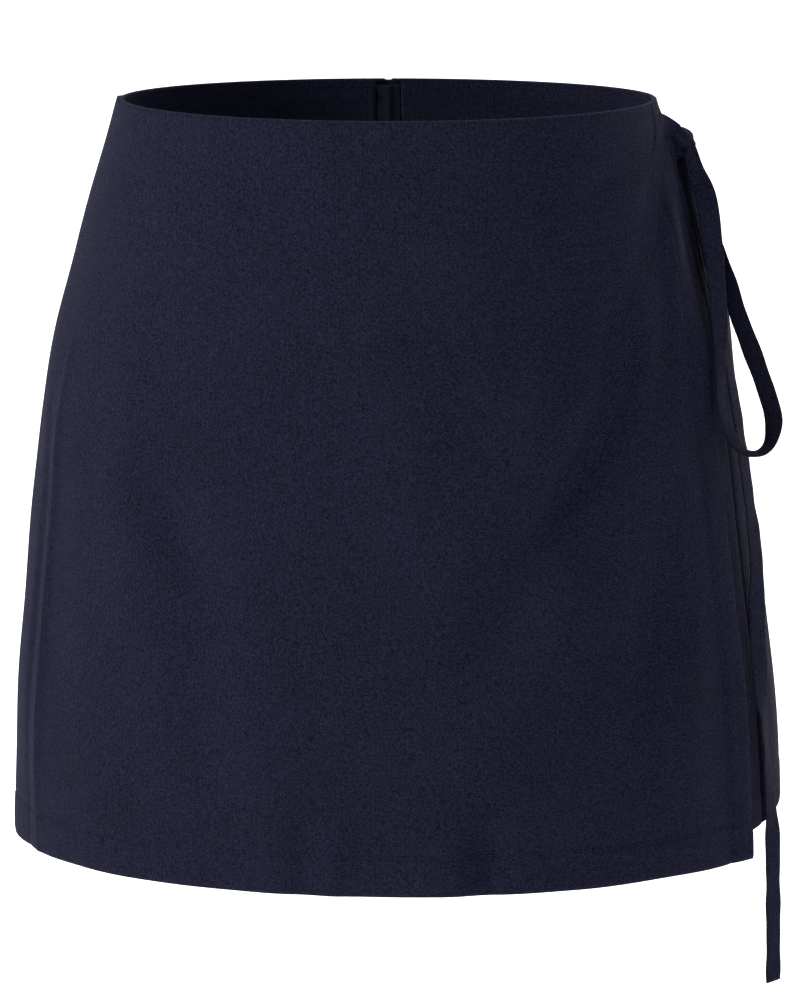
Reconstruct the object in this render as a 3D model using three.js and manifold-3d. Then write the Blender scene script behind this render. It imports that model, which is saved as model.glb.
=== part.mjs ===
// Wrap skort: mini shorts under a front panel that wraps across and ties at the wearer's left side.
// Millimetres, +Z up, front towards -Y, the wearer's left towards +X.
// The origin is the centre of the waist opening, level with the waist edge.
import * as THREE from "three";
import Module from "manifold-3d";

const wasm = await Module();
wasm.setup();

// ---- Driving sizes ---------------------------------------------------------------------------
const CLOTH = 1.2; // wall of the wrap and of the shorts, turned edges averaged in
const SEAM_GAP = 0.3; // space kept between pieces that are sewn together
const SEAM_TURN = SEAM_GAP / 2 / 90; // half a seam gap as an angle on an oval about 90 mm deep
// cutBack: how far a back facing's end lies from the middle of the zip
const FACING = { wall: 1.0, deep: 48, inset: 0.45, cutBack: 6.3 };
const WAIST_DROP = 1.6; // how much lower the waist edge is at the centre back than in front
const LEAN = 6.5; // sideways drift of the centre line from the waist to the hem
const WRAP_HEM = -385; // level of the wrap's hem
// Extra room between wrap and shorts, and the level it is reached at
const WRAP_EASE = { most: 0.9, by: -70 };
const SHORTS_HEM = { level: -368, slopeFront: 0.17, slopeBack: 0.06, turn: 24 }; // rises with Y
const CROTCH = { start: -110, level: -285, legGap: 5 }; // legs begin to part, meet the crotch, hem gap

// The body that fills the garment: half width, depth in front of and behind the widest line, and where
// that line lies in Y. All are sizes of the shorts' outer face.
const LEVELS = [
  { z: 10, half: 131.0, front: 94.8, back: 77.5, mid: -1.2 },
  { z: 0, half: 134.0, front: 96.5, back: 80.0, mid: 0.0 },
  { z: -20, half: 139.7, front: 100.0, back: 85.0, mid: 2.5 },
  { z: -50, half: 149.0, front: 105.0, back: 91.5, mid: 6.0 },
  { z: -80, half: 157.5, front: 109.5, back: 97.0, mid: 9.5 },
  { z: -120, half: 169.0, front: 114.5, back: 103.5, mid: 14.0 },
  { z: -160, half: 177.0, front: 117.2, back: 108.0, mid: 16.2 },
  { z: -200, half: 182.0, front: 119.5, back: 109.5, mid: 18.0 },
  { z: -250, half: 188.0, front: 122.0, back: 106.0, mid: 20.2 },
  { z: -300, half: 194.0, front: 124.6, back: 99.0, mid: 22.0 },
  { z: -350, half: 197.2, front: 127.0, back: 92.0, mid: 23.4 },
  { z: -390, half: 198.2, front: 128.8, back: 88.0, mid: 24.2 },
];

// Where the seams and the wrap's free edge run round the body, in degrees from the centre front.
const SIDES = [
  { z: 0, freeEdge: 79.0, leftSeam: 81.5 },
  { z: -12, freeEdge: 76.6, leftSeam: 79.8 },
  { z: -28, freeEdge: 71.0, leftSeam: 77.6 },
  { z: -60, freeEdge: 68.8, leftSeam: 74.2 },
  { z: -117, freeEdge: 64.8, leftSeam: 71.6 },
  { z: -172, freeEdge: 62.6, leftSeam: 70.2 },
  { z: -390, freeEdge: 62.2, leftSeam: 69.6 },
];
const RIGHT_SEAM = 95; // the wearer's right side seam, just behind the widest line

const TIE = { wall: 1.0, step: 9 }; // flat tie: its thickness, and the spacing of its sections
const KNOT = { x: 147, y: -8, z: -22, rx: 6, ry: 8, rz: 7 };

// Routes of the flat tie. wide is its width there, turn the compass direction of that width from +X,
// and rise its slope from level.
const TIE_FROM_WRAP = [
  { x: 135.0, y: -21.2, z: -10.6, wide: 9.5, turn: 197, rise: 73 },
  { x: 136.9, y: -18.0, z: -11.0, wide: 9, turn: 197, rise: 73 },
  { x: 139.8, y: -14.8, z: -12.2, wide: 7.5, turn: 197, rise: 74 },
  { x: 143.4, y: -12.6, z: -13.8, wide: 5, turn: 197, rise: 76 },
];
const TIE_FROM_SEAM = [
  { x: 139.8, y: -17.6, z: -22.4, wide: 7.5, turn: 197, rise: 73 },
  { x: 141.2, y: -16.2, z: -22.6, wide: 7, turn: 197, rise: 74 },
  { x: 142.6, y: -14.9, z: -22.8, wide: 6.5, turn: 197, rise: 76 },
];
const LOOP = [
  { x: 149.8, y: -15.6, z: -24.6, wide: 5, turn: 20, rise: 0 },
  { x: 153.0, y: -20.0, z: -34.0, wide: 9, turn: 12, rise: 0 },
  { x: 158.4, y: -24.0, z: -48.7, wide: 11, turn: 10, rise: 0 },
  { x: 162.0, y: -28.0, z: -73.2, wide: 11, turn: 24, rise: 0 },
  { x: 164.3, y: -32.0, z: -97.8, wide: 11, turn: 34, rise: 0 },
  { x: 165.4, y: -35.5, z: -117.5, wide: 11, turn: 48, rise: 0 },
  { x: 165.5, y: -38.5, z: -137.2, wide: 11, turn: 64, rise: 0 },
  { x: 166.0, y: -40.5, z: -148.0, wide: 11, turn: 68, rise: 0 },
  { x: 168.4, y: -42.0, z: -158.0, wide: 11, turn: 62, rise: 0 },
  { x: 172.0, y: -43.0, z: -166.0, wide: 11, turn: 60, rise: 0 },
  { x: 176.8, y: -42.4, z: -171.8, wide: 11, turn: 70, rise: 0 },
  { x: 182.0, y: -40.5, z: -174.0, wide: 11, turn: 88, rise: 0 },
  { x: 187.1, y: -37.5, z: -173.8, wide: 11, turn: 104, rise: 0 },
  { x: 191.0, y: -34.5, z: -170.5, wide: 11, turn: 118, rise: 0 },
  { x: 193.0, y: -31.5, z: -164.0, wide: 11, turn: 130, rise: 0 },
  { x: 192.9, y: -29.0, z: -156.5, wide: 11, turn: 138, rise: 0 },
  { x: 189.4, y: -26.0, z: -144.6, wide: 11, turn: 143, rise: 0 },
  { x: 184.9, y: -24.0, z: -132.2, wide: 11, turn: 145, rise: 0 },
  { x: 180.2, y: -22.0, z: -119.9, wide: 11, turn: 145, rise: 0 },
  { x: 175.4, y: -20.0, z: -107.5, wide: 11, turn: 142, rise: 0 },
  { x: 171.7, y: -17.5, z: -95.2, wide: 11, turn: 134, rise: 0 },
  { x: 167.2, y: -12.5, z: -79.5, wide: 11, turn: 118, rise: 0 },
  { x: 161.0, y: -5.5, z: -60.0, wide: 10, turn: 100, rise: 0 },
  { x: 153.6, y: -5.0, z: -39.0, wide: 7, turn: 90, rise: 0 },
  { x: 150.6, y: -6.5, z: -29.2, wide: 5, turn: 90, rise: 0 },
];
const LONG_TAIL = [
  { x: 148.0, y: -3.6, z: -28.6, wide: 5, turn: 90, rise: 0 },
  { x: 150.0, y: 2.4, z: -38.0, wide: 8, turn: 86, rise: 0 },
  { x: 155.6, y: 1.0, z: -60.0, wide: 11, turn: 80, rise: 0 },
  { x: 163.2, y: -8.5, z: -91.4, wide: 11, turn: 72, rise: 0 },
  { x: 168.7, y: -17.5, z: -120.6, wide: 11, turn: 68, rise: 0 },
  { x: 172.2, y: -21.5, z: -140.2, wide: 11, turn: 66, rise: 0 },
  { x: 176.6, y: -24.0, z: -165.4, wide: 11, turn: 64, rise: 0 },
  { x: 182.0, y: -24.5, z: -201.4, wide: 11, turn: 60, rise: 0 },
  { x: 186.0, y: -24.5, z: -232.5, wide: 11, turn: 50, rise: 0 },
  { x: 186.9, y: -24.5, z: -263.7, wide: 11, turn: 40, rise: 0 },
  { x: 189.6, y: -23.0, z: -300.8, wide: 11, turn: 48, rise: 0 },
  { x: 191.6, y: -21.0, z: -317.1, wide: 11, turn: 72, rise: 0 },
  { x: 195.0, y: -19.0, z: -354.7, wide: 11, turn: 64, rise: 0 },
  { x: 197.0, y: -18.5, z: -376.0, wide: 11, turn: 46, rise: 0 },
  { x: 197.8, y: -18.0, z: -402.7, wide: 11, turn: 45, rise: 0 },
  { x: 198.4, y: -18.0, z: -429.6, wide: 11, turn: 45, rise: 0 },
  { x: 198.8, y: -18.0, z: -457.0, wide: 11, turn: 46, rise: 0 },
];
const SHORT_TAIL = [
  { x: 150.2, y: -12.0, z: -28.0, wide: 5, turn: 60, rise: 0 },
  { x: 154.4, y: -15.6, z: -42.0, wide: 8, turn: 60, rise: 0 },
  { x: 160.2, y: -18.4, z: -62.0, wide: 11, turn: 60, rise: 0 },
  { x: 164.2, y: -21.0, z: -82.0, wide: 11, turn: 60, rise: 0 },
  { x: 165.6, y: -23.0, z: -97.0, wide: 11, turn: 60, rise: 0 },
];

// Concealed zip at the centre back: tape inside, slider crown and pull outside.
const ZIP = { halfTape: 6, tape: 0.8, top: -4, bottom: -180, inset: 0.45 };
const SLIDER = { wide: 5, thick: 1.6, long: 9, level: -9, stand: 0.35 };
const LUG = { radius: 1.7, wall: 1.2, hole: 0.85 };
const HINGE = { above: 1.15, tilt: 4 }; // pin height over the crown, and how far the pull leans in at rest
const PULL = { thick: 1.0, bar: 0.9, slotWide: 2.2, slotLong: 2.3, halfTop: 2.3, halfEnd: 3.2, long: 21 };

const CREPE = { color: 0x24263c, roughness: 0.85, metalness: 0 };
const TAPE = { color: 0x1c1e30, roughness: 0.9, metalness: 0 };
const METAL = { color: 0x1b1d2c, roughness: 0.4, metalness: 0.6 };

// ---- The body form ---------------------------------------------------------------------------
const radians = THREE.MathUtils.degToRad;
const lerp = THREE.MathUtils.lerp;
const clamp = THREE.MathUtils.clamp;

// Smooth reading of one column of a table whose rows go down in z.
function read(rows, column, z) {
  const level = clamp(z, rows[rows.length - 1].z, rows[0].z);
  let i = 0;
  while (i < rows.length - 2 && level < rows[i + 1].z) i += 1;
  const slope = (a, b) => (rows[b][column] - rows[a][column]) / (rows[b].z - rows[a].z);
  const slopeAt = (k) => slope(Math.max(k - 1, 0), Math.min(k + 1, rows.length - 1));
  const span = rows[i + 1].z - rows[i].z;
  const t = (level - rows[i].z) / span;
  const rise = 3 * t * t - 2 * t * t * t;
  const leave = (t - 2 * t * t + t * t * t) * span * slopeAt(i);
  const arrive = (t * t * t - t * t) * span * slopeAt(i + 1);
  return lerp(rows[i][column], rows[i + 1][column], rise) + leave + arrive;
}

function centreX(z) {
  return (LEAN * z) / WRAP_HEM;
}

// How far the two legs have parted: 0 at the hips, 1 at the crotch and below.
function parting(z) {
  const t = clamp((CROTCH.start - z) / (CROTCH.start - CROTCH.level), 0, 1);
  return t * t;
}

// The wrap's form: one oval round the whole body. angle is from the centre front, ease lets it out.
function bodyPoint(angle, z, ease = 0) {
  const depth = read(LEVELS, Math.cos(angle) > 0 ? "front" : "back", z) + ease;
  return new THREE.Vector3(
    centreX(z) + (read(LEVELS, "half", z) + ease) * Math.sin(angle),
    read(LEVELS, "mid", z) - depth * Math.cos(angle),
    z
  );
}

// The oval of one leg at a level: its centre, half width and depths. It grows out of the body's oval.
function legOval(z) {
  const part = parting(z);
  const below = clamp((CROTCH.level - z) / (CROTCH.level - SHORTS_HEM.level), 0, 1);
  const gap = lerp(SEAM_GAP / 2, CROTCH.legGap / 2, below);
  const half = read(LEVELS, "half", z);
  const centre = (half * part + gap) / (1 + part);
  return {
    centre,
    gap,
    wide: half - centre,
    front: read(LEVELS, "front", z) / Math.sqrt(1 + part),
    back: read(LEVELS, "back", z),
    mid: read(LEVELS, "mid", z),
  };
}

// side is 1 for the wearer's left leg and -1 for the right; angle is from the leg's own front.
function legPoint(side, angle, z) {
  const oval = legOval(z);
  const depth = Math.cos(angle) > 0 ? oval.front : oval.back;
  return new THREE.Vector3(
    centreX(z) + side * (oval.centre + oval.wide * Math.sin(angle)),
    oval.mid - depth * Math.cos(angle),
    z
  );
}

// Angle at the leg's own centre of a place given by its angle round the whole body.
function legAngle(bodyAngle, z) {
  const oval = legOval(z);
  const x = read(LEVELS, "half", z) * Math.sin(bodyAngle);
  const angle = Math.asin(clamp((x - oval.centre) / oval.wide, -1, 1));
  return bodyAngle > Math.PI / 2 ? Math.PI - angle : angle;
}

// Angle inside the leg's front at which the centre seam or the inner leg seam runs.
function innerAngle(z) {
  const oval = legOval(z);
  const reach = Math.asin(clamp((oval.centre - oval.gap) / oval.wide, -1, 1));
  return Math.min(reach, Math.PI / 2 - SEAM_TURN);
}


function waistLevel(angle) {
  return (-WAIST_DROP * (1 - Math.cos(angle))) / 2;
}

function shortsHem(y) {
  const { level, slopeFront, slopeBack, turn } = SHORTS_HEM;
  return level + slopeFront * Math.min(y, turn) + slopeBack * Math.max(y - turn, 0);
}

// ---- Walls -----------------------------------------------------------------------------------
// A closed wall on a surface: surface(u, v) runs from u = 0 to 1 round the body and v = 0 to 1 down it,
// its outer face stands off by lift, and it is as thick as wall. flip turns it inside out.
function wall(name, look, surface, { columns, rows, lift, thick, flip = false }) {
  const step = 1e-3;
  const normalAt = (u, v) => {
    const across = surface(u + step, v).sub(surface(u - step, v));
    const down = surface(u, v + step).sub(surface(u, v - step));
    const normal = down.cross(across).normalize();
    return flip ? normal.negate() : normal;
  };
  const points = [];
  for (const offset of [lift, lift - thick]) {
    for (let j = 0; j <= rows; j += 1) {
      for (let i = 0; i <= columns; i += 1) {
        const u = i / columns;
        const v = j / rows;
        points.push(surface(u, v).addScaledVector(normalAt(u, v), offset));
      }
    }
  }
  const width = columns + 1;
  const layer = width * (rows + 1);
  const at = (i, j, inner) => inner * layer + j * width + i;
  const faces = [];
  const quad = (a, b, c, d) => faces.push([a, b, c], [a, c, d]);
  for (let j = 0; j < rows; j += 1) {
    for (let i = 0; i < columns; i += 1) {
      quad(at(i, j, 0), at(i, j + 1, 0), at(i + 1, j + 1, 0), at(i + 1, j, 0));
      quad(at(i, j, 1), at(i + 1, j, 1), at(i + 1, j + 1, 1), at(i, j + 1, 1));
    }
  }
  for (let i = 0; i < columns; i += 1) {
    quad(at(i, 0, 0), at(i + 1, 0, 0), at(i + 1, 0, 1), at(i, 0, 1));
    quad(at(i, rows, 0), at(i, rows, 1), at(i + 1, rows, 1), at(i + 1, rows, 0));
  }
  for (let j = 0; j < rows; j += 1) {
    quad(at(0, j, 0), at(0, j, 1), at(0, j + 1, 1), at(0, j + 1, 0));
    quad(at(columns, j, 0), at(columns, j + 1, 0), at(columns, j + 1, 1), at(columns, j, 1));
  }
  const index = flip ? faces.map(([a, b, c]) => [a, c, b]) : faces;
  return solid(name, look, points.flatMap((p) => p.toArray()), index.flat());
}

function solid(name, look, positions, index) {
  const geometry = new THREE.BufferGeometry();
  geometry.setAttribute("position", new THREE.Float32BufferAttribute(positions, 3));
  geometry.setIndex(index);
  return named(name, look, geometry);
}

function named(name, look, geometry) {
  const mesh = new THREE.Mesh(geometry, new THREE.MeshStandardMaterial(look));
  mesh.name = name;
  return mesh;
}

// ---- Cloth pieces ----------------------------------------------------------------------------
function wrapPanel() {
  const start = -radians(RIGHT_SEAM);
  const surface = (u, v) => {
    const guess = lerp(0, WRAP_HEM, v);
    const end = radians(read(SIDES, "freeEdge", guess));
    const angle = lerp(start, end, u);
    const z = lerp(waistLevel(angle), WRAP_HEM, v);
    return bodyPoint(angle, z, WRAP_EASE.most * clamp(z / WRAP_EASE.by, 0, 1));
  };
  const lift = SEAM_GAP + CLOTH;
  return wall("wrap_panel", CREPE, surface, { columns: 30, rows: 14, lift, thick: CLOTH });
}

// One quarter of the shorts, between the centre and inner leg seam and the side seam.
function shortsPanel(name, side, isFront) {
  const sideSeam = (z) => {
    const body = side > 0 ? radians(read(SIDES, "leftSeam", z)) : radians(RIGHT_SEAM);
    return legAngle(body, z);
  };
  const from = (z) => (isFront ? -innerAngle(z) : sideSeam(z) + SEAM_TURN);
  const to = (z) => (isFront ? sideSeam(z) - SEAM_TURN : Math.PI + innerAngle(z));
  const surface = (u, v) => {
    const top = waistLevel(lerp(from(0), to(0), u));
    const hemAngle = lerp(from(SHORTS_HEM.level), to(SHORTS_HEM.level), u);
    const z = lerp(top, shortsHem(legPoint(side, hemAngle, SHORTS_HEM.level).y), v);
    return legPoint(side, lerp(from(z), to(z), u), z);
  };
  return wall(name, CREPE, surface, { columns: 16, rows: 18, lift: 0, thick: CLOTH, flip: side < 0 });
}

// A facing lies inside the top of the shorts, between two angles round the body.
function facing(name, fromAngle, toAngle, columns) {
  const surface = (u, v) => {
    const angle = lerp(fromAngle, toAngle, u);
    return bodyPoint(angle, lerp(waistLevel(angle), -FACING.deep, v));
  };
  return wall(name, CREPE, surface, { columns, rows: 3, lift: -CLOTH - FACING.inset, thick: FACING.wall });
}

function facings() {
  const left = radians(read(SIDES, "leftSeam", -FACING.deep / 2));
  const right = -radians(RIGHT_SEAM);
  const back = Math.PI - FACING.cutBack / read(LEVELS, "half", 0);
  return [
    facing("facing_front", right + SEAM_TURN, left - SEAM_TURN, 22),
    facing("facing_back_left", left + SEAM_TURN, back, 12),
    facing("facing_back_right", -back, right - SEAM_TURN, 12),
  ];
}

// ---- Tie -------------------------------------------------------------------------------------
// A flat strap along a route: a thin rectangle swept through the route's rows.
function strap(name, rows) {
  const column = (key) => rows.map((row) => row[key]);
  const path = new THREE.CatmullRomCurve3(rows.map((row) => new THREE.Vector3(row.x, row.y, row.z)));
  const steps = Math.max(2, Math.round(path.getLength() / TIE.step));
  const mix = (key, t) => {
    const place = t * (rows.length - 1);
    const i = Math.min(Math.floor(place), rows.length - 2);
    return lerp(column(key)[i], column(key)[i + 1], place - i);
  };
  const positions = [];
  for (let k = 0; k <= steps; k += 1) {
    const t = path.getUtoTmapping(k / steps);
    const along = path.getTangent(t);
    const turn = radians(mix("turn", t));
    const rise = radians(mix("rise", t));
    const levelShare = Math.cos(rise);
    const across = new THREE.Vector3(Math.cos(turn) * levelShare, Math.sin(turn) * levelShare, Math.sin(rise));
    across.addScaledVector(along, -across.dot(along)).normalize();
    const out = new THREE.Vector3().crossVectors(along, across);
    for (const [a, b] of [[-1, -1], [1, -1], [1, 1], [-1, 1]]) {
      const corner = path.getPoint(t).addScaledVector(across, (a * mix("wide", t)) / 2);
      positions.push(...corner.addScaledVector(out, (b * TIE.wall) / 2).toArray());
    }
  }
  const index = [0, 2, 1, 0, 3, 2];
  for (let k = 0; k < steps; k += 1) {
    for (let c = 0; c < 4; c += 1) {
      const a = 4 * k + c;
      const b = 4 * k + ((c + 1) % 4);
      index.push(a, b, b + 4, a, b + 4, a + 4);
    }
  }
  const last = 4 * steps;
  index.push(last, last + 1, last + 2, last, last + 2, last + 3);
  return solid(name, CREPE, positions, index);
}

function knot() {
  const mesh = named("bow_knot", CREPE, new THREE.SphereGeometry(1, 16, 10));
  mesh.position.set(KNOT.x, KNOT.y, KNOT.z);
  mesh.scale.set(KNOT.rx, KNOT.ry, KNOT.rz);
  return mesh;
}

// ---- Zip -------------------------------------------------------------------------------------
// A point on the cloth's outer face at the centre back.
function centreBack(z) {
  return legPoint(1, Math.PI + innerAngle(z), z).setX(centreX(z));
}

function zipTape() {
  const surface = (u, v) => {
    const z = lerp(ZIP.top, ZIP.bottom, v);
    const point = centreBack(z);
    return point.setX(point.x + lerp(ZIP.halfTape, -ZIP.halfTape, u));
  };
  const lift = -CLOTH - ZIP.inset;
  return wall("zip_tape", TAPE, surface, { columns: 1, rows: 9, lift, thick: ZIP.tape });
}

function toManifold(geometry) {
  const plain = geometry.index ? geometry.toNonIndexed() : geometry;
  const keys = new Map();
  const vertices = [];
  const triangles = [];
  const position = plain.getAttribute("position");
  for (let i = 0; i < position.count; i += 1) {
    const point = [position.getX(i), position.getY(i), position.getZ(i)];
    const key = point.map((value) => Math.round(value * 1e4)).join(" ");
    if (!keys.has(key)) {
      keys.set(key, vertices.length / 3);
      vertices.push(...point);
    }
    triangles.push(keys.get(key));
  }
  const triVerts = new Uint32Array(triangles);
  const closedMesh = new wasm.Mesh({ numProp: 3, vertProperties: new Float32Array(vertices), triVerts });
  return new wasm.Manifold(closedMesh);
}

function fromManifold(manifold) {
  const mesh = manifold.getMesh();
  const geometry = new THREE.BufferGeometry();
  geometry.setAttribute("position", new THREE.Float32BufferAttribute(mesh.vertProperties, 3));
  geometry.setIndex(Array.from(mesh.triVerts));
  return geometry;
}

// The crown of the slider: a block against the seam with a drilled lug. The lug's hole is the hinge, and
// the group's origin is on its axis, with +Z out of the cloth and +Y up the seam.
function slider() {
  const block = new THREE.BoxGeometry(SLIDER.wide, SLIDER.long, SLIDER.thick);
  block.translate(0, SLIDER.long / 2 - SLIDER.wide / 2, -HINGE.above - SLIDER.thick / 2);
  const lug = new THREE.CylinderGeometry(LUG.radius, LUG.radius, LUG.wall, 24).rotateZ(Math.PI / 2);
  const hole = new THREE.CylinderGeometry(LUG.hole, LUG.hole, 2 * LUG.wall, 24).rotateZ(Math.PI / 2);
  const shape = toManifold(block).add(toManifold(lug)).subtract(toManifold(hole));
  return named("zip_slider", METAL, fromManifold(shape));
}

// The pull: a flat drop with a slot near its top, whose bar passes through the lug.
function pull() {
  const shape = new THREE.Shape();
  const top = PULL.bar / 2;
  shape.moveTo(-PULL.halfTop, top);
  shape.lineTo(-PULL.halfTop, -PULL.slotLong - PULL.bar);
  shape.lineTo(-PULL.halfEnd, PULL.halfEnd - PULL.long);
  shape.absarc(0, PULL.halfEnd - PULL.long, PULL.halfEnd, Math.PI, 2 * Math.PI, false);
  shape.lineTo(PULL.halfTop, -PULL.slotLong - PULL.bar);
  shape.lineTo(PULL.halfTop, top);
  const slot = new THREE.Path();
  const halfSlot = PULL.slotWide / 2;
  slot.moveTo(-halfSlot, -top);
  slot.lineTo(halfSlot, -top);
  slot.lineTo(halfSlot, -top - PULL.slotLong);
  slot.lineTo(-halfSlot, -top - PULL.slotLong);
  shape.holes.push(slot);
  const extrusion = { depth: PULL.thick, bevelEnabled: false, curveSegments: 10 };
  const plate = new THREE.ExtrudeGeometry(shape, extrusion);
  plate.translate(0, 0, -PULL.thick / 2);
  plate.rotateX(radians(HINGE.tilt));
  return named("zip_pull", METAL, fromManifold(toManifold(plate)));
}

function zipHead() {
  const head = new THREE.Group();
  const seat = centreBack(SLIDER.level);
  const down = centreBack(SLIDER.level - 10).sub(centreBack(SLIDER.level + 1)).normalize();
  const out = new THREE.Vector3(0, -down.z, down.y);
  head.position.copy(seat).addScaledVector(out, SLIDER.stand + SLIDER.thick + HINGE.above);
  const right = new THREE.Vector3(-1, 0, 0);
  head.setRotationFromMatrix(new THREE.Matrix4().makeBasis(right, down.clone().negate(), out));
  head.add(slider(), pull());
  return head;
}

// ---- The garment -----------------------------------------------------------------------------
const group = new THREE.Group();
group.add(
  wrapPanel(),
  shortsPanel("shorts_front_left", 1, true),
  shortsPanel("shorts_front_right", -1, true),
  shortsPanel("shorts_back_left", 1, false),
  shortsPanel("shorts_back_right", -1, false),
  ...facings(),
  strap("tie_from_wrap", TIE_FROM_WRAP),
  strap("tie_from_seam", TIE_FROM_SEAM),
  knot(),
  strap("bow_loop", LOOP),
  strap("tail_long", LONG_TAIL),
  strap("tail_short", SHORT_TAIL),
  zipTape(),
  zipHead()
);

export default group;
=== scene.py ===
# Wrap skort: the cloth, ties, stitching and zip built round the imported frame.
# Inside this script lengths are millimetres; meshes are written in metres.
from math import cos, pi, radians, sin

import bpy
import numpy as np
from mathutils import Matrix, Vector


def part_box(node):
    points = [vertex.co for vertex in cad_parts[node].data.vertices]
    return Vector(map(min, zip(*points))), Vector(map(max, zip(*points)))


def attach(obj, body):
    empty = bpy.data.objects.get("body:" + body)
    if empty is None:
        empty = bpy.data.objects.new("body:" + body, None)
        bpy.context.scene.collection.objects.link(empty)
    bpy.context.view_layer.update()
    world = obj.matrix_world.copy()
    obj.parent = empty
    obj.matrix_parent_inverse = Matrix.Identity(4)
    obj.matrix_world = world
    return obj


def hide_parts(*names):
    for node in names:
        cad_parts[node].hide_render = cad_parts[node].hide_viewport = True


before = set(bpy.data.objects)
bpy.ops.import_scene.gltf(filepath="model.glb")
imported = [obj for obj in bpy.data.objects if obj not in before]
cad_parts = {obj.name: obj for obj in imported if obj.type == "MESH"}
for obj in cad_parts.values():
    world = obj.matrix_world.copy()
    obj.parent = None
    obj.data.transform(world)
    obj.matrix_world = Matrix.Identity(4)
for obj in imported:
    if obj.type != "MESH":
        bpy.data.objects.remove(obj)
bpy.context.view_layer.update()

MM = 0.001
BODY = "garment"
CLOTH = 1.2
SEAM_GAP = 0.3
WAIST_DROP = 1.6
LEAN = 6.5
WRAP_HEM = -385.0
WRAP_EASE = (0.9, -70.0)
SHORTS_HEM = {"level": -368.0, "slope_front": 0.17, "slope_back": 0.06, "turn": 24.0}
CROTCH = {"start": -110.0, "level": -285.0, "leg_gap": 5.0}
FACING_DEEP = 48.0
RIGHT_SEAM = 95.0
TIE_WALL = 1.3
HEM_DEEP = 20.0      # topstitching above the wrap's hem
EDGE_DEEP = 11.0     # topstitching inside the wrap's free edge
SHORTS_HEM_DEEP = 18.0
HALF_SEAM_TURN = SEAM_GAP / 2 / 90   # half a seam gap as an angle on an oval about 90 mm deep
WAIST_HALF = 134.0
EDGE_RADIUS = 118.0  # how far the free edge lies from the middle of the curve it turns on
LEFT_HIP = {"out": 5.0, "turn": 96.0, "wide": 22.0}   # fullness of the hip behind the tie
WRAP_FOLD_SCALE = 2.4
ZIP = {"top": -4.0, "bottom": -180.0, "half_width": 6.0, "clearance": 6.3, "tooth": 1.3}

# Body form by level: half width, depth in front of and behind the widest line, and that
# line's place in Y.
LEVEL_COLUMNS = ("z", "half", "front", "back", "mid")
LEVEL_ROWS = (
    (10, 131.0, 94.8, 77.5, -1.2),
    (0, 134.0, 96.5, 80.0, 0.0),
    (-20, 139.7, 100.0, 85.0, 2.5),
    (-50, 149.0, 105.0, 91.5, 6.0),
    (-80, 157.5, 109.5, 97.0, 9.5),
    (-120, 169.0, 114.5, 103.5, 14.0),
    (-160, 177.0, 117.2, 108.0, 16.2),
    (-200, 182.0, 119.5, 109.5, 18.0),
    (-250, 188.0, 122.0, 106.0, 20.2),
    (-300, 194.0, 124.6, 99.0, 22.0),
    (-350, 197.2, 127.0, 92.0, 23.4),
    (-390, 198.2, 128.8, 88.0, 24.2),
)
SIDE_COLUMNS = ("z", "free_edge", "left_seam")
SIDE_ROWS = (
    (0, 79.0, 81.5),
    (-12, 76.6, 79.8),
    (-28, 71.0, 77.6),
    (-60, 68.8, 74.2),
    (-117, 64.8, 71.6),
    (-172, 62.6, 70.2),
    (-390, 62.2, 69.6),
)


def table(columns, rows):
    values = np.array(rows, float)
    return {name: values[:, i] for i, name in enumerate(columns)}


LEVELS = table(LEVEL_COLUMNS, LEVEL_ROWS)
SIDES = table(SIDE_COLUMNS, SIDE_ROWS)


def read(rows, column, z):
    """Smooth reading of a column whose rows go down in z."""
    levels, values = rows["z"], rows[column]
    z = np.clip(z, levels[-1], levels[0])
    i = np.clip(np.searchsorted(-levels, -z, side="right") - 1, 0, len(levels) - 2)

    def slope(k):
        low, high = np.maximum(k - 1, 0), np.minimum(k + 1, len(levels) - 1)
        return (values[high] - values[low]) / (levels[high] - levels[low])

    span = levels[i + 1] - levels[i]
    t = (z - levels[i]) / span
    rise = 3 * t**2 - 2 * t**3
    leave = (t - 2 * t**2 + t**3) * span * slope(i)
    arrive = (t**3 - t**2) * span * slope(i + 1)
    return values[i] + (values[i + 1] - values[i]) * rise + leave + arrive


def mix(a, b, t):
    return a + (b - a) * t


def smooth(a, b, x):
    t = np.clip((x - a) / (b - a), 0, 1)
    return t * t * (3 - 2 * t)


def centre_x(z):
    return LEAN * z / WRAP_HEM


def body_point(angle, z, ease=0.0):
    depth = np.where(np.cos(angle) > 0, read(LEVELS, "front", z), read(LEVELS, "back", z)) + ease
    x = centre_x(z) + (read(LEVELS, "half", z) + ease) * np.sin(angle)
    return np.stack([x, read(LEVELS, "mid", z) - depth * np.cos(angle), z], -1)


def leg_oval(z):
    part = np.clip((CROTCH["start"] - z) / (CROTCH["start"] - CROTCH["level"]), 0, 1) ** 2
    below = np.clip((CROTCH["level"] - z) / (CROTCH["level"] - SHORTS_HEM["level"]), 0, 1)
    gap = mix(SEAM_GAP / 2, CROTCH["leg_gap"] / 2, below)
    half = read(LEVELS, "half", z)
    centre = (half * part + gap) / (1 + part)
    return centre, gap, half - centre, read(LEVELS, "front", z) / np.sqrt(1 + part)


def leg_point(side, angle, z):
    centre, _, wide, front = leg_oval(z)
    depth = np.where(np.cos(angle) > 0, front, read(LEVELS, "back", z))
    x = centre_x(z) + side * (centre + wide * np.sin(angle))
    return np.stack([x, read(LEVELS, "mid", z) - depth * np.cos(angle), z], -1)


def leg_angle(body_angle, z):
    centre, _, wide, _ = leg_oval(z)
    x = read(LEVELS, "half", z) * np.sin(body_angle)
    angle = np.arcsin(np.clip((x - centre) / wide, -1, 1))
    return np.where(body_angle > pi / 2, pi - angle, angle)


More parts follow.
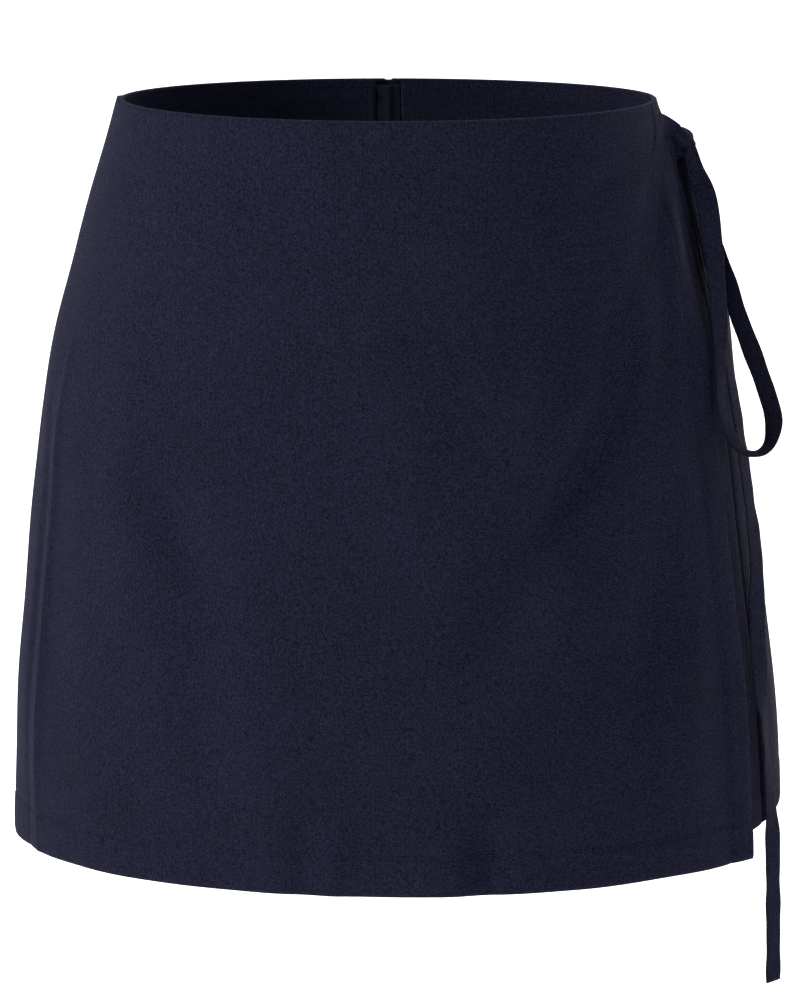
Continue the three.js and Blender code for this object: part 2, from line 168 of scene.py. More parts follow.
def inner_angle(z):
    centre, gap, wide, _ = leg_oval(z)
    reach = np.arcsin(np.clip((centre - gap) / wide, -1, 1))
    return np.minimum(reach, pi / 2 - HALF_SEAM_TURN)


def waist_level(angle):
    return -WAIST_DROP * (1 - np.cos(angle)) / 2


def shorts_hem(y):
    turn = SHORTS_HEM["turn"]
    front = SHORTS_HEM["slope_front"] * np.minimum(y, turn)
    return SHORTS_HEM["level"] + front + SHORTS_HEM["slope_back"] * np.maximum(y - turn, 0)


# ---- Folds -----------------------------------------------------------------------------------
# Each row is one stretch of a soft fold: from and to (degrees round the body, level), how far it stands
# out (troughs are negative) and how wide it is.
FOLD_COLUMNS = ("from_turn", "from_z", "to_turn", "to_z", "out", "wide")
ARC = 150.0          # radius used to turn degrees round the body into millimetres
WRAP_FOLDS = (
    (31, -126, 20, -170, 1.5, 15),
    (20, -170, 7, -214, 1.2, 16),
    (44, -92, 38, -140, -2.1, 10),
    (38, -140, 21, -212, -2.4, 12),
    (21, -212, 12, -274, -1.5, 14),
    (46, -200, 36, -315, -1.8, 14),
    (53, -240, 47, -340, 1.0, 12),
    (70, -24, 52, -74, -1.6, 9),
    (68, -36, 56, -112, 1.2, 8),
    (66, -18, 40, -38, -0.9, 8),
    (60, -70, 48, -150, -1.0, 9),
    (-40, -184, -31, -230, -1.6, 13),
    (-31, -230, -31.5, -305, -1.4, 15),
    (-52, -150, -44, -260, 1.0, 17),
    (-22, -250, -17, -360, 0.9, 15),
    (-13, -345, -14, -386, -1.3, 8),
    (-9, -352, -10, -386, 0.9, 7),
    (13, -350, 12, -386, -1.2, 7),
    (8, -340, 7, -386, 0.8, 9),
    (29, -340, 28, -386, 0.7, 11),
    (-69, -120, -68, -384, 0.9, 3.4),
    (-74, -150, -73, -384, -0.7, 4.0),
    (-5, -60, -12, -120, 0.7, 22),
)
SHORTS_FOLDS = (
    (96, -60, 118, -120, -1.2, 12),
    (84, -30, 104, -92, 1.0, 9),
    (118, -150, 150, -215, -1.6, 12),
    (140, -225, 168, -250, -2.0, 8),
    (128, -262, 160, -268, -1.7, 9),
    (122, -284, 150, -296, 1.2, 9),
    (100, -210, 96, -330, 1.1, 13),
    (112, -260, 108, -362, -1.4, 11),
    (136, -300, 132, -360, 1.0, 10),
    (158, -60, 150, -130, 0.8, 14),
    (60, -200, 48, -330, -1.2, 12),
    (30, -240, 12, -262, -1.6, 9),
    (20, -222, 4, -236, 1.0, 8),
    (82, -18, 77, -135, -5.0, 6),
)


def folds(rows, turn, z):
    """Height of soft troughs and ridges at places given in degrees and millimetres."""
    across = np.radians(turn) * ARC
    total = np.zeros_like(across)
    for values in rows:
        row = dict(zip(FOLD_COLUMNS, values))
        ax, bx = radians(row["from_turn"]) * ARC, radians(row["to_turn"]) * ARC
        dx, dz = bx - ax, row["to_z"] - row["from_z"]
        t = np.clip(((across - ax) * dx + (z - row["from_z"]) * dz) / (dx * dx + dz * dz), 0, 1)
        away = np.hypot(across - ax - t * dx, z - row["from_z"] - t * dz)
        total += row["out"] * np.exp(-((away / row["wide"]) ** 2)) * (0.35 + 0.65 * np.sin(pi * t))
    return total


def undulation(turn, z, size):
    """Slow unevenness of hanging cloth."""
    s = np.radians(turn) * ARC
    waves = ((61, 190, 0.3), (97, 143, 1.9), (43, 260, 4.1), (133, 88, 2.6))
    return size * sum(np.sin(2 * pi * (s / a + z / b) + c) for a, b, c in waves) / len(waves)


def groove(distance, deep=0.6, wide=1.0):
    return -deep * np.exp(-((distance / wide) ** 2))


# ---- Meshes ----------------------------------------------------------------------------------
def make_object(name, points, faces, flat_from=None):
    mesh = bpy.data.meshes.new(name)
    mesh.from_pydata((np.asarray(points) * MM).tolist(), [], faces)
    smooth_count = len(faces) if flat_from is None else flat_from
    mesh.polygons.foreach_set("use_smooth", [i < smooth_count for i in range(len(faces))])
    mesh.update()
    piece = bpy.data.objects.new(name, mesh)
    bpy.context.scene.collection.objects.link(piece)
    return piece


def surface_normals(surface, u, v, flip):
    step = 1e-3
    across = surface(u + step, v) - surface(u - step, v)
    down = surface(u, v + step) - surface(u, v - step)
    normal = np.cross(down, across)
    normal /= np.linalg.norm(normal, axis=-1, keepdims=True)
    return -normal if flip else normal


def cloth_wall(name, surface, columns, rows, lift, thick, relief, flip=False):
    """A closed wall of cloth on surface(u, v), its outer face lifted and shaped by relief(u, v)."""
    u, v = np.meshgrid(np.linspace(0, 1, columns + 1), np.linspace(0, 1, rows + 1))
    normal = surface_normals(surface, u, v, flip)
    height = (lift + relief(u, v))[..., None]
    base = surface(u, v)
    outer, inner = base + normal * height, base + normal * (height - thick)
    points = np.concatenate([outer.reshape(-1, 3), inner.reshape(-1, 3)])
    width, layer = columns + 1, (columns + 1) * (rows + 1)
    faces = []
    for j in range(rows):
        for i in range(columns):
            a = j * width + i
            faces.append((a, a + width, a + width + 1, a + 1))
            faces.append((a + layer, a + layer + 1, a + layer + width + 1, a + layer + width))
    flat_from = len(faces)
    last = rows * width
    for i in range(columns):
        faces.append((i, i + 1, i + 1 + layer, i + layer))
        faces.append((last + i, last + i + layer, last + i + 1 + layer, last + i + 1))
    for j in range(rows):
        a, b = j * width, (j + 1) * width
        faces.append((a, a + layer, b + layer, b))
        faces.append((a + columns, b + columns, b + columns + layer, a + columns + layer))
    if flip:
        faces = [tuple(reversed(face)) for face in faces]
    return make_object(name, points, faces, flat_from)


def stitches(name, places, normals, pitch=3.0, length=2.3, wide=0.55, proud=0.3):
    """A row of sewn stitches along a line of places: small rounded bars, one mesh."""
    steps = np.linalg.norm(np.diff(places, axis=0), axis=1)
    travelled = np.concatenate([[0], np.cumsum(steps)])
    count = int(travelled[-1] / pitch)
    points, faces = [], []
    ring = [(0.0, 1.0), (0.87, 0.5), (0.87, -0.5), (0.0, -1.0), (-0.87, -0.5), (-0.87, 0.5)]
    for k in range(count):
        middle = (k + 0.5) * pitch
        ends = [middle - length / 2, middle + length / 2]
        spot = [np.array([np.interp(s, travelled, places[:, i]) for i in range(3)]) for s in ends]
        out = np.array([np.interp(middle, travelled, normals[:, i]) for i in range(3)])
        out /= np.linalg.norm(out)
        along = (spot[1] - spot[0]) / np.linalg.norm(spot[1] - spot[0])
        side = np.cross(out, along)
        base = len(points)
        for t, swell, rise in ((0, 0.45, -0.6), (0.2, 1, 0.1), (0.8, 1, 0.1), (1, 0.45, -0.6)):
            centre = mix(spot[0], spot[1], t) + out * proud * rise
            for a, b in ring:
                points.append(centre + side * a * wide / 2 * swell + out * b * proud * swell)
        for r in range(3):
            for c in range(6):
                a, b = base + 6 * r + c, base + 6 * r + (c + 1) % 6
                faces.append((a, b, b + 6, a + 6))
        faces.append(tuple(base + c for c in reversed(range(6))))
        faces.append(tuple(base + 18 + c for c in range(6)))
    return make_object(name, points, faces)


def line_on(surface, us, vs, height, flip=False):
    """Points and normals along a line drawn on a surface."""
    normal = surface_normals(surface, us, vs, flip)
    return surface(us, vs) + normal * np.asarray(height)[..., None], normal


# ---- Materials -------------------------------------------------------------------------------
PEBBLES, FIBRES, DYE, THREADS = 900, 2600, 22, 330    # texture scales, for metres


def node_material(name, colour, roughness):
    material = bpy.data.materials.new(name)
    material.use_nodes = True
    shader = material.node_tree.nodes["Principled BSDF"]
    shader.inputs["Base Color"].default_value = (*colour, 1)
    shader.inputs["Roughness"].default_value = roughness
    return material, shader


def noise(material, place, scale, detail):
    node = material.node_tree.nodes.new("ShaderNodeTexNoise")
    node.inputs["Scale"].default_value = scale
    node.inputs["Detail"].default_value = detail
    material.node_tree.links.new(place.outputs["Object"], node.inputs["Vector"])
    return node.outputs["Fac"]


def threads(material, place, direction):
    node = material.node_tree.nodes.new("ShaderNodeTexWave")
    node.bands_direction = direction
    node.inputs["Scale"].default_value = THREADS
    node.inputs["Distortion"].default_value = 3.5
    node.inputs["Detail"].default_value = 2
    node.inputs["Detail Scale"].default_value = 2.5
    material.node_tree.links.new(place.outputs["Object"], node.inputs["Vector"])
    return node.outputs["Fac"]


def plus_share(material, whole, added, share):
    node = material.node_tree.nodes.new("ShaderNodeMath")
    node.operation = "MULTIPLY_ADD"
    material.node_tree.links.new(added, node.inputs[0])
    node.inputs[1].default_value = share
    material.node_tree.links.new(whole, node.inputs[2])
    return node.outputs[0]


def remap(material, value, source, target):
    node = material.node_tree.nodes.new("ShaderNodeMapRange")
    node.inputs["From Min"].default_value, node.inputs["From Max"].default_value = source
    node.inputs["To Min"].default_value, node.inputs["To Max"].default_value = target
    material.node_tree.links.new(value, node.inputs["Value"])
    return node.outputs["Result"]


def blended_colour(material, share, dark, light):
    node = material.node_tree.nodes.new("ShaderNodeMix")
    node.data_type = "RGBA"
    node.inputs["A"].default_value = (*dark, 1)
    node.inputs["B"].default_value = (*light, 1)
    material.node_tree.links.new(share, node.inputs["Factor"])
    return node.outputs["Result"]


def crepe(name, dark, light, sheen, grain=1.0):
    """Navy crepe: pebbled grain over a fine weave, uneven dye and a soft sheen."""
    material, shader = node_material(name, dark, 0.8)
    nodes, links = material.node_tree.nodes, material.node_tree.links
    shader.inputs["Sheen Weight"].default_value = sheen
    shader.inputs["Sheen Roughness"].default_value = 0.45
    shader.inputs["Sheen Tint"].default_value = (0.55, 0.58, 0.85, 1)
    shader.inputs["Specular IOR Level"].default_value = 0.03
    place = nodes.new("ShaderNodeTexCoord")
    pebble = noise(material, place, PEBBLES, 3)
    fibre = noise(material, place, FIBRES, 2)
    dye = noise(material, place, DYE, 3)
    height = plus_share(material, pebble, fibre, 0.5)
    for direction in ("X", "Z"):
        height = plus_share(material, height, threads(material, place, direction), 0.22)
    bump = nodes.new("ShaderNodeBump")
    bump.inputs["Strength"].default_value = grain
    bump.inputs["Distance"].default_value = 0.0011
    links.new(height, bump.inputs["Height"])
    links.new(bump.outputs["Normal"], shader.inputs["Normal"])
    shade = remap(material, plus_share(material, pebble, dye, 0.12), (0.36, 0.76), (0, 1))
    links.new(blended_colour(material, shade, dark, light), shader.inputs["Base Color"])
    links.new(remap(material, fibre, (0, 1), (0.72, 0.9)), shader.inputs["Roughness"])
    return material


def enamel(name):
    """Satin navy enamel of the zip's slider and pull, unevenly polished."""
    material, shader = node_material(name, (0.012, 0.014, 0.032), 0.35)
    shader.inputs["Metallic"].default_value = 0.35
    place = material.node_tree.nodes.new("ShaderNodeTexCoord")
    polish = remap(material, noise(material, place, 600, 2), (0, 1), (0.25, 0.5))
    material.node_tree.links.new(polish, shader.inputs["Roughness"])
    return material


CREPE = crepe("navy_crepe", (0.0030, 0.0032, 0.0085), (0.0138, 0.0142, 0.0325), 0.02)
THREAD = crepe("navy_thread", (0.0085, 0.009, 0.022), (0.013, 0.0135, 0.031), 0.05, 0.6)
TAPE = crepe("navy_tape", (0.006, 0.0065, 0.014), (0.009, 0.010, 0.020), 0.04, 1.4)
ENAMEL = enamel("navy_enamel")


def finish(piece, material, replaces=None):
    piece.data.materials.append(material)
    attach(piece, BODY)
    if replaces:
        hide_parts(replaces)
    return piece


# ---- Wrap panel ------------------------------------------------------------------------------
def wrap_turn(u, v):
    end = read(SIDES, "free_edge", mix(0, WRAP_HEM, v))
    return mix(-RIGHT_SEAM, end, u)


def wrap_surface(u, v):
    angle = np.radians(wrap_turn(u, v))
    z = mix(waist_level(angle), WRAP_HEM, v)
    ease = WRAP_EASE[0] * np.clip(z / WRAP_EASE[1], 0, 1)
    return body_point(angle, z, ease)


def wrap_height(u, v):
    turn = wrap_turn(u, v)
    z = mix(0, WRAP_HEM, v)
    from_edge = np.radians(read(SIDES, "free_edge", z) - turn) * EDGE_RADIUS
    from_hem = z - WRAP_HEM
    free = smooth(-30, -150, z)
    height = WRAP_FOLD_SCALE * folds(WRAP_FOLDS, turn, z) * smooth(-6, -30, z)
    height += undulation(turn, z, 1.0) * free
    height += 0.45 * np.exp(-(((z + FACING_DEEP) / 2.2) ** 2)) * smooth(-60, -40, turn)
    height += groove(from_hem - HEM_DEEP) * (from_edge > EDGE_DEEP * 0.8)
    height += groove(from_edge - EDGE_DEEP)
    height += 0.28 * smooth(HEM_DEEP, HEM_DEEP - 2, from_hem)
    height += 0.28 * smooth(EDGE_DEEP, EDGE_DEEP - 2, from_edge)
    pucker = 0.16 * np.sin(2 * pi * np.radians(turn) * ARC / 7.3 + 2 * np.sin(turn / 5))
    height += pucker * np.exp(-(((from_hem - 10) / 9) ** 2))
    roll = 2.4 * smooth(14, 0, from_edge) * smooth(-60, -160, z)
    return height - 0.35 * smooth(1.4, 0, from_hem) + roll


def build_wrap():
    lift = SEAM_GAP + CLOTH
    panel = cloth_wall("wrap_cloth", wrap_surface, 260, 190, lift, 1.1, wrap_height)
    finish(panel, CREPE, replaces="wrap_panel")
    ends = np.linspace(0.001, 0.999, 1500)
    hem_v = np.full_like(ends, 1 - HEM_DEEP / -WRAP_HEM)
    edge_z = mix(0, WRAP_HEM, ends)
    edge_turn = read(SIDES, "free_edge", edge_z)
    edge_u = 1 - np.degrees(EDGE_DEEP / EDGE_RADIUS) / (edge_turn + RIGHT_SEAM)
    hem_u = ends * float(np.interp(1 - HEM_DEEP / -WRAP_HEM, ends, edge_u))
    for name, us, vs in (("wrap_hem_stitches", hem_u, hem_v), ("wrap_edge_stitches", edge_u, ends)):
        places, normals = line_on(wrap_surface, us, vs, lift + wrap_height(us, vs) + 0.12)
        finish(stitches(name, places, normals), THREAD)


# ---- Shorts ----------------------------------------------------------------------------------
def shorts_parts(side, is_front):
    def side_seam(z):
        body_turn = read(SIDES, "left_seam", z) if side > 0 else np.full_like(z, RIGHT_SEAM)
        return leg_angle(np.radians(body_turn), z)

    def start(z):
        return -inner_angle(z) if is_front else side_seam(z) + HALF_SEAM_TURN

    def end(z):
        return side_seam(z) - HALF_SEAM_TURN if is_front else pi + inner_angle(z)

    def level(u, v):
        zero, hem = np.zeros_like(u), np.full_like(u, SHORTS_HEM["level"])
        top = waist_level(mix(start(zero), end(zero), u))
        hem_y = leg_point(side, mix(start(hem), end(hem), u), hem)[..., 1]
        return mix(top, shorts_hem(hem_y), v)

    def surface(u, v):
        z = level(u, v)
        return leg_point(side, mix(start(z), end(z), u), z)

    def height(u, v):
        z = level(u, v)
        turn = np.degrees(mix(start(z), end(z), u))
        from_hem = z - level(u, np.ones_like(v))
        calm = smooth(-8, -40, z) * smooth(0, 0.06, u) * smooth(0, 0.06, 1 - u)
        lean = 1.0 if side > 0 else 0.85
        shape = (folds(SHORTS_FOLDS, turn * lean, z) + undulation(turn + 40 * side, z, 0.7)) * calm
        if is_front:
            shape = mix(np.minimum(shape, 0.0), shape, smooth(50, 75, turn))
            shape = np.where(z > -150, np.minimum(shape, 0.0), shape)
        if side > 0:
            away = (turn - LEFT_HIP["turn"]) / LEFT_HIP["wide"]
            shape += LEFT_HIP["out"] * np.exp(-(away**2)) * smooth(-4, -30, z) * smooth(-150, -100, z)
        seam_dip = -0.5 * (np.exp(-((u / 0.008) ** 2)) + np.exp(-(((1 - u) / 0.008) ** 2)))
        hem_step = 0.25 * smooth(SHORTS_HEM_DEEP, SHORTS_HEM_DEEP - 2, from_hem)
        return shape + seam_dip + hem_step + groove(from_hem - SHORTS_HEM_DEEP)

    return surface, height, level


def build_shorts():
    for side, hand in ((1, "left"), (-1, "right")):
        for is_front, face in ((True, "front"), (False, "back")):
            surface, height, level = shorts_parts(side, is_front)
            flip = side < 0
            name = f"shorts_{face}_{hand}"
            panel = cloth_wall(name + "_cloth", surface, 120, 150, 0.0, 1.1, height, flip)
            finish(panel, CREPE, replaces=name)
            us = np.linspace(0.002, 0.998, 700)
            hem_z = level(us, np.ones_like(us))
            top_z = level(us, np.zeros_like(us))
            vs = 1 + SHORTS_HEM_DEEP / (hem_z - top_z)
            places, normals = line_on(surface, us, vs, height(us, vs) + 0.12, flip)
            finish(stitches(name + "_stitches", places, normals), THREAD)


# ---- Facings ---------------------------------------------------------------------------------
def build_facings():
    left = read(SIDES, "left_seam", np.array(-FACING_DEEP / 2))
    back = 180 - np.degrees(ZIP["clearance"] / WAIST_HALF)
    spans = (
        ("facing_front", -RIGHT_SEAM + 0.1, left - 0.1, (0.34, 0.06), 200),
        ("facing_back_left", left + 0.1, back, (0.2, 0.06), 120),
        ("facing_back_right", -back, -RIGHT_SEAM - 0.1, (0.17, 0.06), 110),
    )
    lift = -CLOTH - 0.35
    for name, start, end, flat, columns in spans:
        def surface(u, v, start=start, end=end):
            angle = np.radians(mix(start, end, u))
            return body_point(angle, mix(waist_level(angle), -FACING_DEEP, v))

        def height(u, v):
            depth = v * FACING_DEEP
            allowance = 0.5 * np.exp(-(((depth - 9.0) / 1.8) ** 2))
            ripple = 0.25 * np.sin(u * 46 + 2 * np.sin(u * 11)) * smooth(14, 40, depth)
            return -allowance + groove(depth - 2.2, -0.3) - ripple

        band = cloth_wall(name + "_cloth", surface, columns, 44, lift, 0.9, height)
        finish(band, CREPE, replaces=name)
        us = np.linspace(0.004, 0.996, 500)
        vs = np.full_like(us, 2.2 / FACING_DEEP)
        places, normals = line_on(surface, us, vs, lift - 0.9 + height(us, vs) - 0.15)
        finish(stitches(name + "_stitches", places, -normals, pitch=2.6, length=2.0), THREAD)


# A rolled edge covers the tops of shorts, wrap and facing, where they are sewn and turned.
def build_waist_edge():
    count = 720
    turn = np.linspace(-179.2, 179.2, count)
    angle = np.radians(turn)
    on_wrap = (turn > -RIGHT_SEAM) & (turn < 78.8)
    z = waist_level(angle)
    outer = np.where(on_wrap, 1.5, 0.0)
    middle = mix(outer, -2.5, 0.5)
    reach = (outer + 2.5) / 2
    base = body_point(angle, z)
    out = body_point(angle, z, 1.0) - base
    out[:, 2] = 0
    out /= np.linalg.norm(out, axis=1, keepdims=True)
    points, faces, sides = [], [], 12
    for k in range(count):
        for c in range(sides):
            a = 2 * pi * c / sides
            lift = max(sin(a), -0.6) * 0.95
            spread = middle[k] + reach[k] * cos(a)
            points.append(base[k] + out[k] * spread + np.array([0, 0, lift - 0.4]))
    for k in range(count - 1):
        for c in range(sides):
            a, b = k * sides + c, k * sides + (c + 1) % sides
            faces.append((a, b, b + sides, a + sides))
    faces.append(tuple(range(sides - 1, -1, -1)))
    faces.append(tuple(range((count - 1) * sides, count * sides)))
    finish(make_object("waist_edge", points, faces), CREPE)


# ---- Ties ------------------------------------------------------------------------------------
# Routes of the flat tie, point by point: place (x, y, z), width there, the way that width points
# (degrees round from +X) and how steeply it rises (degrees).
TIE_FROM_WRAP = (
    (134.6, -22.6, -11.6, 12, 197, 73),
    (136.9, -18.0, -12.4, 12, 197, 73),
    (139.8, -14.8, -14.6, 11.5, 197, 74),
    (144.4, -11.6, -17.0, 9, 197, 76),
)
TIE_FROM_SEAM = (
    (138.2, -20.2, -24.2, 12, 197, 73),
    (141.4, -16.2, -24.6, 11.5, 197, 74),
    (145.2, -12.0, -24.6, 10, 197, 76),
)
LOOP = (
    (148.0, -10.5, -19.0, 6, 30, 0),
    (150.4, -15.6, -24.6, 7, 20, 0),
    (153.0, -20.0, -34.0, 9, 12, 0),
    (158.4, -24.0, -48.7, 11, 10, 0),
    (162.0, -28.0, -73.2, 11, 24, 0),
    (164.3, -32.0, -97.8, 11, 34, 0),
    (165.4, -35.5, -117.5, 11, 48, 0),
    (165.5, -38.5, -137.2, 11, 64, 0),
    (166.0, -40.5, -148.0, 11, 68, 0),
    (168.4, -42.0, -158.0, 11, 62, 0),
    (172.0, -43.0, -166.0, 11, 60, 0),
    (176.8, -42.4, -171.8, 11, 70, 0),
    (182.0, -40.5, -174.0, 11, 88, 0),
    (187.1, -37.5, -173.8, 11, 104, 0),
    (191.0, -34.5, -170.5, 11, 118, 0),
    (193.0, -31.5, -164.0, 11, 130, 0),
    (192.9, -29.0, -156.5, 11, 138, 0),
    (189.4, -26.0, -144.6, 11, 143, 0),
    (184.9, -24.0, -132.2, 11, 145, 0),
    (180.2, -22.0, -119.9, 11, 145, 0),
    (175.4, -20.0, -107.5, 11, 142, 0),
    (171.7, -17.5, -95.2, 11, 134, 0),
    (167.2, -12.5, -79.5, 11, 118, 0),
    (161.0, -5.5, -60.0, 10, 100, 0),
    (153.6, -5.0, -39.0, 8, 90, 0),
    (149.6, -7.0, -26.0, 6, 90, 0),
)
LONG_TAIL = (
    (147.0, -6.6, -25.0, 6, 90, 0),
    (148.6, 1.4, -38.0, 8.5, 86, 0),
    (153.2, 1.0, -60.0, 11, 80, 0),
    (161.0, -8.5, -91.4, 11, 72, 0),
    (168.7, -17.5, -120.6, 11, 68, 0),
    (172.2, -21.5, -140.2, 11, 66, 0),
    (176.6, -24.0, -165.4, 11, 64, 0),
    (182.0, -24.5, -201.4, 11, 60, 0),
    (186.0, -24.5, -232.5, 11, 50, 0),
    (186.9, -24.5, -263.7, 11, 40, 0),
    (189.6, -23.0, -300.8, 11, 48, 0),
    (191.6, -21.0, -317.1, 11, 72, 0),
    (195.0, -19.0, -354.7, 11, 64, 0),
    (197.0, -18.5, -376.0, 11, 46, 0),
    (197.8, -18.0, -402.7, 11, 45, 0),
    (198.4, -18.0, -429.6, 11, 45, 0),
    (198.8, -18.0, -457.0, 11, 46, 0),
)
SHORT_TAIL = (
    (148.8, -9.6, -24.0, 6, 60, 0),
    (151.4, -15.6, -42.0, 8.5, 60, 0),
    (156.6, -18.4, -62.0, 11, 60, 0),
    (161.0, -21.0, -82.0, 11, 60, 0),
    (165.6, -23.0, -97.0, 11, 60, 0),
)
SECTION = 16         # points round the tie's section


def curve_through(values, count):
    """Smooth curve through rows, evenly spaced along its length."""
    values = np.asarray(values, float)
    padded = np.vstack([2 * values[0] - values[1], values, 2 * values[-1] - values[-2]])
    fine = []
    for i in range(len(values) - 1):
        p0, p1, p2, p3 = padded[i:i + 4]
        t = np.linspace(0, 1, 24, endpoint=False)[:, None]
        fine.append(0.5 * (2 * p1 + (p2 - p0) * t + (2 * p0 - 5 * p1 + 4 * p2 - p3) * t**2
                           + (3 * p1 - p0 - 3 * p2 + p3) * t**3))
    fine = np.vstack(fine + [values[-1:]])
    steps = np.linalg.norm(np.diff(fine[:, :3], axis=0), axis=1)
    travelled = np.concatenate([[0], np.cumsum(steps)])
    even = np.linspace(0, travelled[-1], count)
    columns = [np.interp(even, travelled, fine[:, i]) for i in range(fine.shape[1])]
    return np.stack(columns, -1), travelled[-1]


def tie(name, rows, replaces, seed):
    """A flat sewn strap: soft rounded edges, a sunk stitch line by each edge and small ripples."""
    _, length = curve_through(rows, 40)
    steps = max(12, int(length / 1.6))
    path, length = curve_through(rows, steps + 1)
    place, wide = path[:, :3], path[:, 3]
    along = np.gradient(place, axis=0)
    along /= np.linalg.norm(along, axis=1, keepdims=True)
    turn, rise = np.radians(path[:, 4]), np.radians(path[:, 5])
    across = np.stack([np.cos(turn) * np.cos(rise), np.sin(turn) * np.cos(rise), np.sin(rise)], -1)
    across -= along * np.sum(across * along, axis=1, keepdims=True)
    across /= np.linalg.norm(across, axis=1, keepdims=True)
    out = np.cross(along, across)
    travelled = np.linspace(0, length, steps + 1)
    ripple = 0.22 * np.sin(travelled / 5.3 + seed) + 0.15 * np.sin(travelled / 2.9 + 2.1 * seed)
    points, faces = [], []
    for k in range(steps + 1):
        gather = 0.9 * smooth(11, 5, wide[k])
        for c in range(SECTION):
            a = 2 * pi * c / SECTION
            s = np.sign(cos(a)) * abs(cos(a)) ** 0.55
            t = np.sign(sin(a)) * abs(sin(a)) ** 0.6
            sunk = 0.18 * np.exp(-(((abs(s) - 0.74) / 0.08) ** 2))
            thick = TIE_WALL / 2 * (1 - sunk) * (1 + gather)
            cup = ripple[k] * s + gather * 0.7 * sin(3 * pi * s)
            points.append(place[k] + across[k] * s * wide[k] / 2 + out[k] * (t * thick + cup))
    for k in range(steps):
        for c in range(SECTION):
            a, b = k * SECTION + c, k * SECTION + (c + 1) % SECTION
            faces.append((a, b, b + SECTION, a + SECTION))
    faces.append(tuple(range(SECTION - 1, -1, -1)))
    faces.append(tuple(range(steps * SECTION, (steps + 1) * SECTION)))
    strap = make_object(name, points, faces)
    finish(strap, CREPE, replaces=replaces)


def build_knot():
    """The knot: one turn of the tie drawn tight, its edges standing as slanting rolls."""
    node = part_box("bow_knot")
    low, high = np.array(node[0]) / MM, np.array(node[1]) / MM
    centre, radii = (low + high) / 2 - (1.5, 0, 0), (high - low) / 2 + (1.8, 1.0, 1.0)
    around, up = 96, 60
    points, faces = [], []
    for j in range(up + 1):
        theta = pi * j / up
        for i in range(around):
            phi = 2 * pi * i / around
            way = np.array([sin(theta) * cos(phi), sin(theta) * sin(phi), cos(theta)])
            slant = way[2] + 0.45 * way[0] - 0.3 * way[1]
            rolls = 0.10 * np.exp(-(((abs(slant) - 0.42) / 0.13) ** 2))
            band = rolls - 0.12 * np.exp(-((slant / 0.16) ** 2))
            crush = 0.035 * sin(9 * slant + 2 * phi) + 0.02 * sin(5 * phi + 7 * slant)
            points.append(centre + radii * way * (0.97 + band + crush))
    for j in range(up):
        for i in range(around):
            a, b = j * around + i, j * around + (i + 1) % around
            faces.append((a, a + around, b + around, b))
    finish(make_object("bow_knot_cloth", points, faces), CREPE, replaces="bow_knot")


def build_ties():
    tie("tie_from_wrap_cloth", TIE_FROM_WRAP, "tie_from_wrap", 0.4)
    tie("tie_from_seam_cloth", TIE_FROM_SEAM, "tie_from_seam", 1.7)
    tie("bow_loop_cloth", LOOP, "bow_loop", 2.2)
    tie("tail_long_cloth", LONG_TAIL, "tail_long", 0.9)
    tie("tail_short_cloth", SHORT_TAIL, "tail_short", 3.3)


# ---- Zip -------------------------------------------------------------------------------------
def build_zip():
    length = ZIP["top"] - ZIP["bottom"]

    def surface(u, v):
        z = mix(ZIP["top"], ZIP["bottom"], v)
        point = leg_point(1, pi + inner_angle(z), z)
        point[..., 0] = centre_x(z) + mix(ZIP["half_width"], -ZIP["half_width"], u)
        return point

    def height(u, v):
        from_middle = (u - 0.5) * 2 * ZIP["half_width"]
        teeth = 0.75 + 0.25 * np.sin(v * length / ZIP["tooth"] * 2 * pi)
        return -0.9 * np.exp(-((from_middle / 1.5) ** 2)) * teeth

    tape = cloth_wall("zip_tape_cloth", surface, 24, 700, -CLOTH - 0.45, 0.7, height)
    finish(tape, TAPE, replaces="zip_tape")
    for name in ("zip_slider", "zip_pull"):
        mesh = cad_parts[name].data
        mesh.materials.clear()
        mesh.materials.append(ENAMEL)


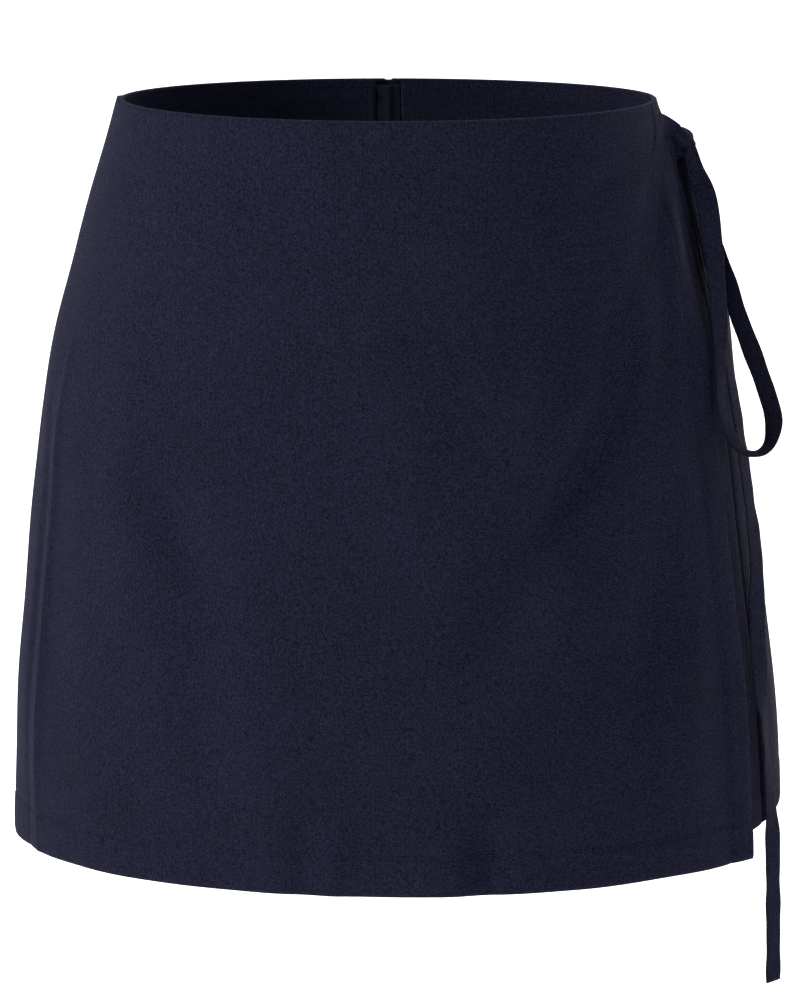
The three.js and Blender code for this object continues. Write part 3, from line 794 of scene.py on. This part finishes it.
# ---- Studio ----------------------------------------------------------------------------------
# Each lamp: place and aim (metres), size (metres) and power (watts).
LAMPS = {
    "key": ((-2.3, -0.9, 0.9), (0, 0, -0.18), (0.6, 1.0), 95),
    "fill": ((1.8, -2.6, 0.3), (0, 0, -0.2), (1.6, 1.6), 22),
    "top": ((0.1, 0.3, 1.9), (0, 0, -0.1), (1.2, 1.2), 26),
    "rim": ((1.6, 1.4, 0.6), (0.1, 0, -0.2), (0.8, 1.2), 16),
}
STAGE_GLOW = 0.8
SKY = 0.4


def area_light(name, place, aim, size, power):
    data = bpy.data.lights.new(name, "AREA")
    data.shape = "RECTANGLE"
    data.size, data.size_y = size
    data.energy = power
    lamp = bpy.data.objects.new(name, data)
    lamp.location = place
    lamp.rotation_euler = (Vector(aim) - Vector(place)).to_track_quat("-Z", "Y").to_euler()
    bpy.context.scene.collection.objects.link(lamp)


def build_studio():
    floor_level, back, reach, bend = -1100.0, 9000.0, 40000.0, 1500.0
    profile = [(-reach, floor_level), (back - bend, floor_level)]
    for k in range(1, 17):
        a = pi / 2 * k / 16
        profile.append((back - bend + bend * sin(a), floor_level + bend * (1 - cos(a))))
    profile.append((back, 6000.0))
    points = [(x, y, z) for y, z in profile for x in (-reach, reach)]
    faces = [(2 * i, 2 * i + 1, 2 * i + 3, 2 * i + 2) for i in range(len(profile) - 1)]
    sweep = make_object("studio_sweep", points, faces)
    material, shader = node_material("studio_white", (0.93, 0.93, 0.935), 0.9)
    shader.inputs["Emission Color"].default_value = (1, 1, 1, 1)
    shader.inputs["Emission Strength"].default_value = STAGE_GLOW
    sweep.data.materials.append(material)
    world = bpy.data.worlds.new("studio")
    bpy.context.scene.world = world
    world.use_nodes = True
    world.node_tree.nodes["Background"].inputs["Color"].default_value = (1, 1, 1, 1)
    world.node_tree.nodes["Background"].inputs["Strength"].default_value = SKY
    for name, (place, aim, size, power) in LAMPS.items():
        area_light(name, place, aim, size, power)


def build_camera():
    bpy.context.scene.view_settings.view_transform = "Standard"
    data = bpy.data.cameras.new("camera")
    data.sensor_fit = "HORIZONTAL"
    data.sensor_width = 36.0
    data.lens = 216.0
    camera = bpy.data.objects.new("camera", data)
    camera.location = (0.006, -2.388, 0.314)
    camera.rotation_euler = (radians(90 - 12.3), 0, 0)
    bpy.context.scene.collection.objects.link(camera)
    bpy.context.scene.camera = camera


build_camera()
build_wrap()
build_shorts()
build_facings()
build_waist_edge()
build_knot()
build_ties()
build_zip()
build_studio()
